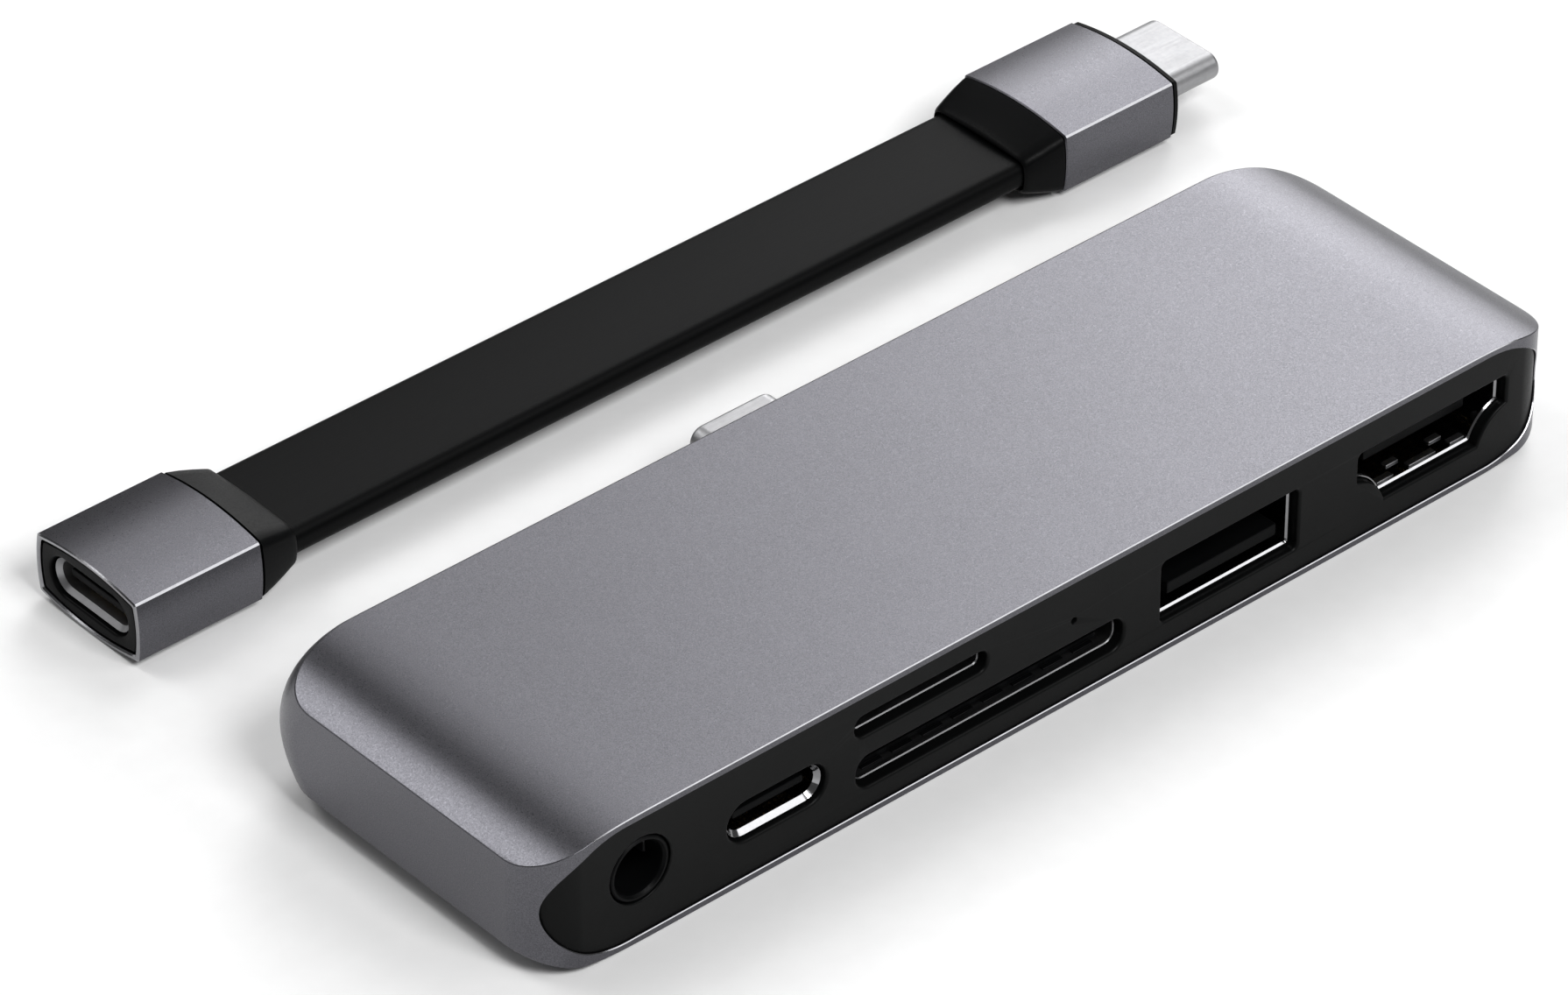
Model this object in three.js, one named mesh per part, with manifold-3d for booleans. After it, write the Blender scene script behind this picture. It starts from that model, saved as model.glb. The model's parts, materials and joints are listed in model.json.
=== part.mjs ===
// A six-port USB hub with its short flat extension lead, in millimetres.
// +X runs along the hub, +Y runs from the ports to the plug, and +Z is up.
// The origin is the middle of the hub's flat underside.
import * as THREE from 'three';
import { mergeVertices } from 'three/addons/utils/BufferGeometryUtils.js';
import Module from 'manifold-3d';

const wasm = await Module();
wasm.setup();

// ---- driving dimensions ----

const HUB_LENGTH = 99.8;
const HUB_HEIGHT = 11.4;
const HUB_FRONT = -15.25;         // plane of the aluminium rim round the ports
const HUB_BACK = 15.25;           // back edge of the flat top
const BACK_BULGE = 1.7;           // how far the back wall swells at mid height
const FRONT_CORNER = 4.2;         // corner radii seen from above
const BACK_CORNER = 8.3;
const CORNER_LOSS = 3.5;          // how much tighter the back corners are at mid height
const END_RUN = 7.3;              // length of the slope at each end of the top
const END_DROP = 1.87;            // and how far it falls
const END_BLEND = 5;              // half the length over which the slope begins
const MID_HEIGHT = HUB_HEIGHT / 2;

const GAP = 0.15;                 // fit between pieces that touch
const RECESS = 0.65;              // the small ports stand this far behind the rim
const DEEP_RECESS = 1;            // and the others this far
const SHEET = 0.3;                // steel of the port shells

const PANEL_HALF_LENGTH = 48.75;
const PANEL_HALF_HEIGHT = 4.95;
const PANEL_END = 6.5;            // length of the panel's half-elliptical ends
const PANEL_INSET = 0.2;
const PANEL_DEPTH = 3;
const LEDGE = 0.45;               // step inside the shell that the panel seats on
const SIDE_WALL = 1.4;

const JACK = { x: -40.85, z: 6.2, ring: 5.3, bore: 3.6, mouth: 4.3, length: 12.5 };
const USB_C = { x: -28.2, z: 5.35, width: 8.94, height: 3.16, length: 7.6 };
const MICRO_SD = { x: -14.55, z: 8.06, width: 12.35, height: 1.5, length: 11.5, corner: 0.65 };
const SD = { x: -7.75, z: 3.83, width: 25.65, height: 2.5, length: 20, corner: 1.05 };
const USB_A = { x: 15.9, z: 5.3, width: 13.55, height: 5.15, length: 13, corner: 0.35 };
const HDMI = { x: 36.7, z: 5.45, width: 15.2, height: 4.95, length: 11.2 };
const LIGHT = { x: 0.2, z: 7.25, diameter: 0.25 };

const PLUG = { width: 8.25, height: 2.4, length: 6.65, wall: 0.3 };
const HUB_PLUG_Z = 4.6;
const HUB_PLUG_TIP = HUB_BACK + BACK_BULGE + 5.5;

const BOARD_BOTTOM = 5.5;
const BOARD_TOP = 6.3;

const LEAD_Y = 38.4;
const LEAD_Z = 3.25;
const SLEEVE = { width: 12.3, height: 6.5, length: 11.6, cornerY: 5.9, cornerZ: 2.6, wall: 0.4 };
const SOCKET_FACE_X = -48.45;
const PLUG_SLEEVE_X = 43.6;
const BOOT_LENGTH = 3.8;
const BOOT_TIP = { width: 10.9, height: 3.7 };
const END_CAP = 0.55;             // how far the plug's end cap reaches past the sleeve
const CABLE = { width: 10.3, height: 2.4, corner: 0.9 };

// ---- shapes and solids ----

const CURVE_STEPS = 8;

function extrude(shape, depth, steps = CURVE_STEPS) {
  return new THREE.ExtrudeGeometry(shape, { depth, bevelEnabled: false, curveSegments: steps });
}

// A shape drawn in X and Z, running along Y.
function alongY(shape, from, to, steps) {
  const geometry = extrude(shape, to - from, steps);
  geometry.rotateX(Math.PI / 2);
  geometry.translate(0, to, 0);
  return solid(geometry);
}

// A shape drawn in Y and Z, running along X.
function alongX(shape, from, to, steps) {
  const geometry = extrude(shape, to - from, steps);
  const turn = new THREE.Matrix4().makeBasis(
    new THREE.Vector3(0, 1, 0), new THREE.Vector3(0, 0, 1), new THREE.Vector3(1, 0, 0));
  geometry.applyMatrix4(turn);
  geometry.translate(from, 0, 0);
  return solid(geometry);
}

// A shape drawn in X and Y, standing up along Z.
function alongZ(shape, from, to, steps) {
  const geometry = extrude(shape, to - from, steps);
  geometry.translate(0, 0, from);
  return solid(geometry);
}

function block(x0, x1, y0, y1, z0, z1) {
  const geometry = new THREE.BoxGeometry(x1 - x0, y1 - y0, z1 - z0);
  geometry.translate((x0 + x1) / 2, (y0 + y1) / 2, (z0 + z1) / 2);
  return solid(geometry);
}

// Rings of the same number of points, joined in order and closed at both ends.
function loft(rings) {
  const count = rings[0].length;
  const positions = rings.flat().flatMap((point) => [point.x, point.y, point.z]);
  const index = [];
  for (let level = 0; level < rings.length - 1; level += 1) {
    for (let i = 0; i < count; i += 1) {
      const a = level * count + i;
      const b = level * count + (i + 1) % count;
      index.push(a, b, b + count, a, b + count, a + count);
    }
  }
  const last = (rings.length - 1) * count;
  for (let i = 1; i < count - 1; i += 1) {
    index.push(0, i + 1, i, last, last + i, last + i + 1);
  }
  const geometry = new THREE.BufferGeometry();
  geometry.setAttribute('position', new THREE.Float32BufferAttribute(positions, 3));
  geometry.setIndex(index);
  return solid(geometry);
}

function solid(geometry) {
  geometry.deleteAttribute('normal');
  geometry.deleteAttribute('uv');
  const merged = mergeVertices(geometry, 1e-4);
  return new wasm.Manifold(new wasm.Mesh({
    numProp: 3,
    vertProperties: new Float32Array(merged.attributes.position.array),
    triVerts: new Uint32Array(merged.index.array),
  }));
}

function cut(body, ...tools) {
  return tools.reduce((left, tool) => left.subtract(tool), body);
}

function join(body, ...others) {
  return others.reduce((left, other) => left.add(other), body);
}

const hub = new THREE.Group();

function piece(name, body, material) {
  const { vertProperties, triVerts } = body.getMesh();
  const geometry = new THREE.BufferGeometry();
  geometry.setAttribute('position', new THREE.Float32BufferAttribute(vertProperties, 3));
  geometry.setIndex([...triVerts]);
  geometry.computeVertexNormals();
  const mesh = new THREE.Mesh(geometry, material);
  mesh.name = name;
  hub.add(mesh);
}

// ---- outlines ----

function rectangle(width, height, x = 0, y = 0, corner = 0) {
  const shape = new THREE.Shape();
  const right = x + width / 2;
  const left = x - width / 2;
  const top = y + height / 2;
  const bottom = y - height / 2;
  if (corner === 0) {
    shape.moveTo(left, bottom).lineTo(right, bottom).lineTo(right, top).lineTo(left, top);
    return shape;
  }
  shape.moveTo(left + corner, bottom);
  shape.absarc(right - corner, bottom + corner, corner, -Math.PI / 2, 0);
  shape.absarc(right - corner, top - corner, corner, 0, Math.PI / 2);
  shape.absarc(left + corner, top - corner, corner, Math.PI / 2, Math.PI);
  shape.absarc(left + corner, bottom + corner, corner, Math.PI, Math.PI * 1.5);
  return shape;
}

// A slot with fully round ends, the outline of every USB-C part.
function slot(width, height, x = 0, y = 0) {
  return rectangle(width, height, x, y, height / 2 - 1e-3);
}

function circle(diameter, x, y) {
  const shape = new THREE.Shape();
  shape.absarc(x, y, diameter / 2, 0, Math.PI * 2);
  return shape;
}

// Straight long sides with half-elliptical ends, as the front panel has.
function panelOutline(grow) {
  const height = PANEL_HALF_HEIGHT + grow;
  const centre = PANEL_HALF_LENGTH - PANEL_END;
  const shape = new THREE.Shape();
  shape.moveTo(-centre, MID_HEIGHT - height);
  shape.absellipse(centre, MID_HEIGHT, PANEL_END + grow, height, -Math.PI / 2, Math.PI / 2, false, 0);
  shape.absellipse(-centre, MID_HEIGHT, PANEL_END + grow, height, Math.PI / 2, Math.PI * 1.5, false, 0);
  return shape;
}

// How far the top has fallen at x, towards an end: an arc that begins softly.
function endDrop(x) {
  const radius = (END_RUN ** 2 + END_DROP ** 2) / (2 * END_DROP);
  const past = Math.max(x - HUB_LENGTH / 2 + END_RUN, -END_BLEND);
  const run = past < END_BLEND ? (past + END_BLEND) ** 2 / (4 * END_BLEND) : past;
  return radius - Math.sqrt(radius ** 2 - run ** 2);
}

// The hub seen from the front: flat above and below, sloping at both ends.
function hubProfile() {
  const steps = 9;
  const reach = END_RUN + END_BLEND;
  const quarter = Array.from({ length: steps + 1 }, (_, i) => {
    const x = HUB_LENGTH / 2 - reach * (i / steps);
    return new THREE.Vector2(x, endDrop(x));
  });
  const above = quarter.map(({ x, y }) => new THREE.Vector2(x, HUB_HEIGHT - y));
  const right = [...quarter.slice().reverse(), ...above];
  const left = right.map(({ x, y }) => new THREE.Vector2(-x, y)).reverse();
  return new THREE.Shape([...right, ...left]);
}

// The hub seen from above, as a ring of points at height z.
function planRing(inset, back, backCorner, z) {
  const right = HUB_LENGTH / 2 - inset;
  const front = HUB_FRONT + inset;
  const frontCorner = FRONT_CORNER - inset;
  const corners = [
    [right - frontCorner, front + frontCorner, frontCorner],
    [right - backCorner, back - backCorner, backCorner],
    [backCorner - right, back - backCorner, backCorner],
    [frontCorner - right, front + frontCorner, frontCorner],
  ];
  const ring = [];
  corners.forEach(([x, y, radius], quarter) => {
    for (let step = 0; step <= CURVE_STEPS; step += 1) {
      const angle = (quarter - 1 + step / CURVE_STEPS) * Math.PI / 2;
      ring.push(new THREE.Vector3(x + radius * Math.cos(angle), y + radius * Math.sin(angle), z));
    }
  });
  return ring;
}

// The hub's sides: the back wall swells at mid height and the other walls stand straight.
// They run on a little above and below the hub, where its profile trims them.
function hubSides(inset) {
  const levels = 8;
  const spare = 1;
  const rings = [];
  for (let level = 0; level <= levels; level += 1) {
    const turn = Math.PI * level / levels;
    const height = (1 - Math.cos(turn)) / 2;
    const swell = Math.sin(turn) ** 1.5;
    const back = HUB_BACK + BACK_BULGE * swell - inset;
    const corner = BACK_CORNER - CORNER_LOSS * swell - inset;
    rings.push(planRing(inset, back, corner, HUB_HEIGHT * height));
  }
  const below = rings[0].map((point) => new THREE.Vector3(point.x, point.y, -spare));
  const above = rings[levels].map((point) => new THREE.Vector3(point.x, point.y, HUB_HEIGHT + spare));
  return loft([below, ...rings, above]);
}

// An HDMI outline: a wide top, and lower corners scooped away.
function hdmiOutline(inset) {
  const top = HDMI.height / 2 - inset;
  const half = HDMI.width / 2 - inset;
  const shoulder = 0.15 + inset * 0.3;
  const foot = 4.8 - inset * 0.4;
  const corner = 0.5;
  const bend = { across: foot + 0.75, up: shoulder - 0.6 };
  const shape = new THREE.Shape();
  const { x, z } = HDMI;
  shape.moveTo(x - foot, z - top);
  shape.lineTo(x + foot, z - top);
  shape.quadraticCurveTo(x + bend.across, z + bend.up, x + half, z + shoulder);
  shape.absarc(x + half - corner, z + top - corner, corner, 0, Math.PI / 2);
  shape.absarc(x - half + corner, z + top - corner, corner, Math.PI / 2, Math.PI);
  shape.lineTo(x - half, z + shoulder);
  shape.quadraticCurveTo(x - bend.across, z + bend.up, x - foot, z - top);
  return shape;
}

// The section of the lead's ends: four gently crowned sides, as a shape in Y and Z.
function sleeveOutline(inset) {
  const cornerY = SLEEVE.cornerY - inset;
  const cornerZ = SLEEVE.cornerZ - inset;
  const reachY = SLEEVE.width - SLEEVE.cornerY - inset;
  const reachZ = SLEEVE.height - SLEEVE.cornerZ - inset;
  const shape = new THREE.Shape();
  shape.moveTo(LEAD_Y - cornerY, LEAD_Z - cornerZ);
  shape.quadraticCurveTo(LEAD_Y, LEAD_Z - reachZ, LEAD_Y + cornerY, LEAD_Z - cornerZ);
  shape.quadraticCurveTo(LEAD_Y + reachY, LEAD_Z, LEAD_Y + cornerY, LEAD_Z + cornerZ);
  shape.quadraticCurveTo(LEAD_Y, LEAD_Z + reachZ, LEAD_Y - cornerY, LEAD_Z + cornerZ);
  shape.quadraticCurveTo(LEAD_Y - reachY, LEAD_Z, LEAD_Y - cornerY, LEAD_Z - cornerZ);
  return shape;
}

// ---- materials ----

function material(color, roughness, metalness) {
  return new THREE.MeshStandardMaterial({ color, roughness, metalness });
}

const aluminium = material(0x77777d, 0.42, 0.9);
const panelBlack = material(0x1b1c1c, 0.5, 0);
const plasticBlack = material(0x0e0f10, 0.55, 0);
const jacket = material(0x24272a, 0.5, 0);
const steel = material(0xd8d9dc, 0.15, 1);
const resin = material(0x1f5a3a, 0.45, 0);
const chipBlack = material(0x17181a, 0.6, 0);
const clearPlastic = material(0xe7ecef, 0.1, 0);
const padGrey = material(0x9aa3ad, 0.9, 0);
const inductorGrey = material(0x4b4d50, 0.7, 0.2);
const trayGrey = material(0x2b2d30, 0.7, 0);

// ---- the hub's shell and front panel ----

function makeShell() {
  const inside = PANEL_DEPTH + GAP;
  const seat = alongY(panelOutline(GAP), HUB_FRONT - 1, HUB_FRONT + inside);
  const hollow = alongY(panelOutline(-LEDGE), HUB_FRONT + inside - 0.5, HUB_BACK + 2)
    .intersect(hubSides(SIDE_WALL));
  const plugHole = alongY(
    slot(PLUG.width + 2.6, PLUG.height + 2.2, 0, HUB_PLUG_Z), HUB_BACK - 3, HUB_BACK + 3);
  const outside = hubSides(0).intersect(alongY(hubProfile(), HUB_FRONT - 1, HUB_BACK + 3));
  piece('hub_shell', cut(outside, seat, hollow, plugHole), aluminium);
}

function portHole(shape) {
  return alongY(shape, HUB_FRONT - 1, HUB_FRONT + PANEL_DEPTH + 1);
}

// The outline of a port with small round corners.
function portRectangle(port, inset) {
  const corner = Math.max(port.corner - inset, 0.05);
  return rectangle(port.width - 2 * inset, port.height - 2 * inset, port.x, port.z, corner);
}

function makeFrontPanel() {
  const blank = alongY(panelOutline(0), HUB_FRONT - 1, HUB_FRONT + PANEL_DEPTH)
    .intersect(hubSides(PANEL_INSET));
  const rim = 2 * GAP;
  piece('front_panel', cut(
    blank,
    portHole(circle(JACK.ring + rim, JACK.x, JACK.z)),
    portHole(slot(USB_C.width + rim, USB_C.height + rim, USB_C.x, USB_C.z)),
    portHole(portRectangle(MICRO_SD, -GAP)),
    portHole(portRectangle(SD, -GAP)),
    portHole(portRectangle(USB_A, -GAP)),
    portHole(hdmiOutline(-GAP)),
    portHole(circle(LIGHT.diameter + rim, LIGHT.x, LIGHT.z)),
  ), panelBlack);
}

// ---- the ports ----

const MOUTH = HUB_FRONT + RECESS;
const DEEP_MOUTH = HUB_FRONT + DEEP_RECESS;

function makeUsbA() {
  const back = DEEP_MOUTH + USB_A.length;
  piece('usb_a_shell', cut(
    alongY(portRectangle(USB_A, 0), DEEP_MOUTH, back),
    alongY(portRectangle(USB_A, SHEET), DEEP_MOUTH - 1, back + 1),
  ), steel);
  const tongue = { width: 11.1, height: 1.1, z: USB_A.z - 0.75 };
  piece('usb_a_tongue', join(
    alongY(portRectangle(USB_A, SHEET + GAP), back - 3, back - GAP),
    alongY(rectangle(tongue.width, tongue.height, USB_A.x, tongue.z), DEEP_MOUTH + 0.1, back - 2),
  ), plasticBlack);
}

function makeHdmi() {
  const back = DEEP_MOUTH + HDMI.length;
  piece('hdmi_shell', cut(
    alongY(hdmiOutline(0), DEEP_MOUTH, back),
    alongY(hdmiOutline(SHEET), DEEP_MOUTH - 1, back + 1),
  ), steel);
  const tongue = { width: 10.6, height: 0.95, z: HDMI.z + 0.3 };
  piece('hdmi_tongue', join(
    alongY(hdmiOutline(SHEET + GAP), back - 2.5, back - GAP),
    alongY(rectangle(tongue.width, tongue.height, HDMI.x, tongue.z), DEEP_MOUTH + 1.2, back - 2),
  ), plasticBlack);
}

function makeUsbC() {
  const back = MOUTH + USB_C.length;
  const inner = { width: USB_C.width - 2 * SHEET, height: USB_C.height - 2 * SHEET };
  piece('usb_c_socket_shell', cut(
    alongY(slot(USB_C.width, USB_C.height, USB_C.x, USB_C.z), MOUTH, back),
    alongY(slot(inner.width, inner.height, USB_C.x, USB_C.z), MOUTH - 1, back + 1),
  ), steel);
  piece('usb_c_socket_tongue', join(
    alongY(slot(inner.width - 2 * GAP, inner.height - 2 * GAP, USB_C.x, USB_C.z), back - 1.8, back - GAP),
    alongY(rectangle(6.7, 0.7, USB_C.x, USB_C.z), MOUTH + 0.6, back - 1),
  ), plasticBlack);
}

// A card socket is a folded steel cover over a plastic base that carries the contacts.
function makeCardSocket(name, port) {
  const back = DEEP_MOUTH + port.length;
  const sheet = 0.2;
  piece(`${name}_socket_cover`, cut(
    alongY(portRectangle(port, 0), DEEP_MOUTH, back),
    alongY(portRectangle(port, sheet), DEEP_MOUTH - 1, back + 1),
  ), steel);
  const floor = port.z - port.height / 2 + sheet + GAP;
  const half = port.width / 2 - port.corner;
  piece(`${name}_socket_base`, join(
    block(port.x - half, port.x + half, DEEP_MOUTH + 1, back, floor, floor + 0.35),
    alongY(portRectangle(port, sheet + GAP), back - 1.2, back),
  ), plasticBlack);
}

function makeAudioJack() {
  const back = MOUTH + JACK.length;
  const bushLength = 2.9;
  piece('audio_jack_ring', cut(
    alongY(circle(JACK.ring, JACK.x, JACK.z), MOUTH - 0.4, MOUTH + bushLength),
    alongY(circle(JACK.mouth, JACK.x, JACK.z), MOUTH - 1, MOUTH + bushLength + 1),
  ), plasticBlack);
  piece('audio_jack_body', cut(
    alongY(rectangle(6, 5, JACK.x, JACK.z, 0.4), MOUTH + bushLength + GAP, back),
    alongY(circle(JACK.bore, JACK.x, JACK.z), MOUTH, back - 1),
  ), plasticBlack);
}

function makeStatusLight() {
  const pipeEnd = HUB_FRONT + PANEL_DEPTH + 0.5;
  piece('light_pipe',
    alongY(circle(LIGHT.diameter, LIGHT.x, LIGHT.z), HUB_FRONT + 0.6, pipeEnd), clearPlastic);
  piece('status_led', block(-0.8, 0.8, pipeEnd + GAP, pipeEnd + 1.1, BOARD_TOP + GAP, 8.2), clearPlastic);
}

// ---- the board and what it carries ----

const BOARD_FRONT = HUB_FRONT + PANEL_DEPTH + 0.4;
const BOARD_BACK = 12.6;
const PLUG_ROOT = BOARD_BACK - 2;

function boardNotch(port, depth) {
  const half = port.width / 2 + 0.4;
  const end = DEEP_MOUTH + depth + 0.4;
  return block(port.x - half, port.x + half, BOARD_FRONT - 1, end, BOARD_BOTTOM - 1, BOARD_TOP + 1);
}

// The hub's plug sits in a notch in the board's back edge.
function plugNotch() {
  const half = PLUG.width / 2 + 0.4;
  return block(-half, half, PLUG_ROOT - 0.4, BOARD_BACK + 1, BOARD_BOTTOM - 1, BOARD_TOP + 1);
}

function makeBoard() {
  const blank = alongZ(rectangle(92, BOARD_BACK - BOARD_FRONT, 0, (BOARD_BACK + BOARD_FRONT) / 2, 3),
    BOARD_BOTTOM, BOARD_TOP);
  piece('main_board', cut(
    blank,
    boardNotch({ x: JACK.x, width: 6 }, JACK.length),
    boardNotch(USB_C, USB_C.length),
    boardNotch(USB_A, USB_A.length),
    boardNotch(HDMI, HDMI.length),
    plugNotch(),
  ), resin);
}

function makeChip(name, x, y, width, depth, height, finish) {
  const bottom = BOARD_TOP + GAP;
  piece(name, block(
    x - width / 2, x + width / 2, y - depth / 2, y + depth / 2, bottom, bottom + height), finish);
}

function makeComponents() {
  makeChip('hub_controller_chip', 4, 2, 7, 7, 0.85, chipBlack);
  makeChip('video_converter_chip', 33, 5, 7, 7, 0.85, chipBlack);
  makeChip('card_reader_chip', -13, 4.5, 5, 5, 0.85, chipBlack);
  makeChip('power_control_chip', -30, 2.5, 5, 5, 0.85, chipBlack);
  makeChip('clock_crystal', 13, 5, 3.2, 2.5, 0.7, steel);
  makeChip('power_inductor', -37, 7, 4, 4, 2, inductorGrey);
  makeChip('power_capacitor', -22, 8, 4.3, 3, 2, inductorGrey);
  const padBottom = BOARD_TOP + GAP + 0.85 + GAP;
  const padTop = MID_HEIGHT + PANEL_HALF_HEIGHT - LEDGE - GAP;
  piece('thermal_pad', block(29, 37, 1, 9, padBottom, padTop), padGrey);
}

// The tray that the board rests on, with a post near each corner.
function makeTray() {
  const bottom = MID_HEIGHT - PANEL_HALF_HEIGHT + LEDGE + GAP;
  const plate = alongZ(rectangle(80, 22, 0, 0.5, 2), bottom, bottom + 0.8);
  const posts = [[-35.3, -8.5], [25.6, -8.5], [-36, 9], [36, 9]].map(([x, y]) => (
    block(x - 1, x + 1, y - 1, y + 1, bottom + 0.4, BOARD_BOTTOM - GAP)
  ));
  piece('board_tray', join(plate, ...posts), trayGrey);
}

// ---- the plug at the back of the hub ----

function plugTube(centreX, centreZ, grow) {
  return slot(PLUG.width + 2 * grow, PLUG.height + 2 * grow, centreX, centreZ);
}

function makeHubPlug() {
  piece('hub_plug_shell', cut(
    alongY(plugTube(0, HUB_PLUG_Z, 0), PLUG_ROOT, HUB_PLUG_TIP),
    alongY(plugTube(0, HUB_PLUG_Z, -PLUG.wall), PLUG_ROOT - 1, HUB_PLUG_TIP + 1),
  ), steel);
  const insert = alongY(plugTube(0, HUB_PLUG_Z, -PLUG.wall - GAP), PLUG_ROOT, HUB_PLUG_TIP - 0.3);
  const mouth = alongY(slot(6.7, 0.8, 0, HUB_PLUG_Z), HUB_PLUG_TIP - 5, HUB_PLUG_TIP + 1);
  piece('hub_plug_insert', cut(insert, mouth), plasticBlack);
  const collarStart = HUB_BACK - SIDE_WALL + 0.3;
  const collarEnd = HUB_BACK + BACK_BULGE - 0.5;
  piece('rear_plug_collar', cut(
    alongY(slot(PLUG.width + 2.2, PLUG.height + 1.8, 0, HUB_PLUG_Z), collarStart, collarEnd),
    alongY(plugTube(0, HUB_PLUG_Z, GAP), collarStart - 1, collarEnd + 1),
  ), plasticBlack);
}

// ---- the extension lead ----

// Rings for a boot: the sleeve's crowned section shrinking to a small rounded end.
function bootRings(start, tip) {
  const stages = [[0, 0], [0.5, 0.48], [0.88, 0.88], [1, 1.05]];
  const steps = 40;
  const wide = sleeveOutline(0.05).getSpacedPoints(steps).slice(0, steps);
  return stages.map(([along, shrink]) => wide.map((point) => {
    const y = point.x - LEAD_Y;
    const z = point.y - LEAD_Z;
    const scaleY = 1 - shrink * (1 - BOOT_TIP.width / SLEEVE.width);
    const scaleZ = 1 - shrink * (1 - BOOT_TIP.height / SLEEVE.height);
    const x = start + (tip - start) * along;
    return new THREE.Vector3(x, LEAD_Y + y * scaleY, LEAD_Z + z * scaleZ);
  }));
}

function makeBoot(name, start, tip) {
  const rings = bootRings(start, tip);
  piece(name, loft(tip > start ? rings : rings.reverse()), plasticBlack);
}

function leadSlot(width, height, from, to) {
  return alongX(slot(width, height, LEAD_Y, LEAD_Z), from, to);
}

function makeSleeve(name, from) {
  const to = from + SLEEVE.length;
  piece(name, cut(
    alongX(sleeveOutline(0), from, to),
    alongX(sleeveOutline(SLEEVE.wall), from - 1, to + 1),
  ), aluminium);
}

function makeSocketEnd() {
  const face = SOCKET_FACE_X;
  makeSleeve('lead_socket_sleeve', face);
  const inner = SLEEVE.wall + GAP;
  const tube = { width: USB_C.width, height: USB_C.height };
  piece('lead_socket_face', cut(
    alongX(sleeveOutline(inner), face + 0.15, face + 8.3),
    leadSlot(tube.width + 2 * GAP, tube.height + 2 * GAP, face - 1, face + 9),
  ), plasticBlack);
  piece('lead_socket_shell', cut(
    leadSlot(tube.width, tube.height, face + 0.5, face + 8),
    leadSlot(tube.width - 2 * SHEET, tube.height - 2 * SHEET, face - 1, face + 9),
  ), steel);
  const core = { width: tube.width - 2 * SHEET - 2 * GAP, height: tube.height - 2 * SHEET - 2 * GAP };
  piece('lead_socket_tongue', join(
    leadSlot(core.width, core.height, face + 6, face + 7.9),
    alongX(rectangle(6.7, 0.7, LEAD_Y, LEAD_Z), face + 1.1, face + 7),
  ), plasticBlack);
  piece('lead_socket_board', block(face + 8.6, face + 11.3, LEAD_Y - 4.2, LEAD_Y + 4.2, LEAD_Z - 0.4, LEAD_Z + 0.4),
    resin);
  makeBoot('lead_socket_boot', face + SLEEVE.length + GAP, face + SLEEVE.length + BOOT_LENGTH);
}

function makePlugEnd() {
  const start = PLUG_SLEEVE_X;
  const end = start + SLEEVE.length;
  const tip = end + PLUG.length + 0.3;
  makeSleeve('lead_plug_sleeve', start);
  const inner = SLEEVE.wall + GAP;
  piece('lead_plug_end_cap', cut(
    join(
      alongX(sleeveOutline(inner), end - 3, end + END_CAP),
      alongX(sleeveOutline(0.1), end + GAP, end + END_CAP),
    ),
    leadSlot(PLUG.width + 2 * GAP, PLUG.height + 2 * GAP, end - 4, end + 1),
  ), plasticBlack);
  piece('lead_plug_shell', cut(
    leadSlot(PLUG.width, PLUG.height, end - 6, tip),
    leadSlot(PLUG.width - 2 * PLUG.wall, PLUG.height - 2 * PLUG.wall, end - 7, tip + 1),
  ), steel);
  const core = { width: PLUG.width - 2 * PLUG.wall - 2 * GAP, height: PLUG.height - 2 * PLUG.wall - 2 * GAP };
  piece('lead_plug_insert', cut(
    leadSlot(core.width, core.height, end - 6, tip - 0.3),
    leadSlot(6.7, 0.8, tip - 5, tip + 1),
  ), plasticBlack);
  piece('lead_plug_board', block(start + 1, end - 6.3, LEAD_Y - 4.2, LEAD_Y + 4.2, LEAD_Z - 0.4, LEAD_Z + 0.4), resin);
  makeBoot('lead_plug_boot', start - GAP, start - BOOT_LENGTH);
}

function makeCable() {
  const from = SOCKET_FACE_X + SLEEVE.length + BOOT_LENGTH + 0.3;
  const to = PLUG_SLEEVE_X - BOOT_LENGTH - 0.3;
  piece('lead_cable',
    alongX(rectangle(CABLE.width, CABLE.height, LEAD_Y, LEAD_Z, CABLE.corner), from, to, 2), jacket);
}

makeShell();
makeFrontPanel();
makeUsbA();
makeHdmi();
makeUsbC();
makeCardSocket('sd', SD);
makeCardSocket('microsd', MICRO_SD);
makeAudioJack();
makeStatusLight();
makeBoard();
makeComponents();
makeTray();
makeHubPlug();
makeSocketEnd();
makePlugEnd();
makeCable();

export default hub;
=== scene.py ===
"""The looks of a USB hub and its short flat extension lead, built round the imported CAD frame.

Lengths are in millimetres until a mesh is made, which turns them into metres.
"""
import json
import math
from collections import namedtuple

import bmesh
import bpy
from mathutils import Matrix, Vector
from mathutils.geometry import delaunay_2d_cdt


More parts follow.
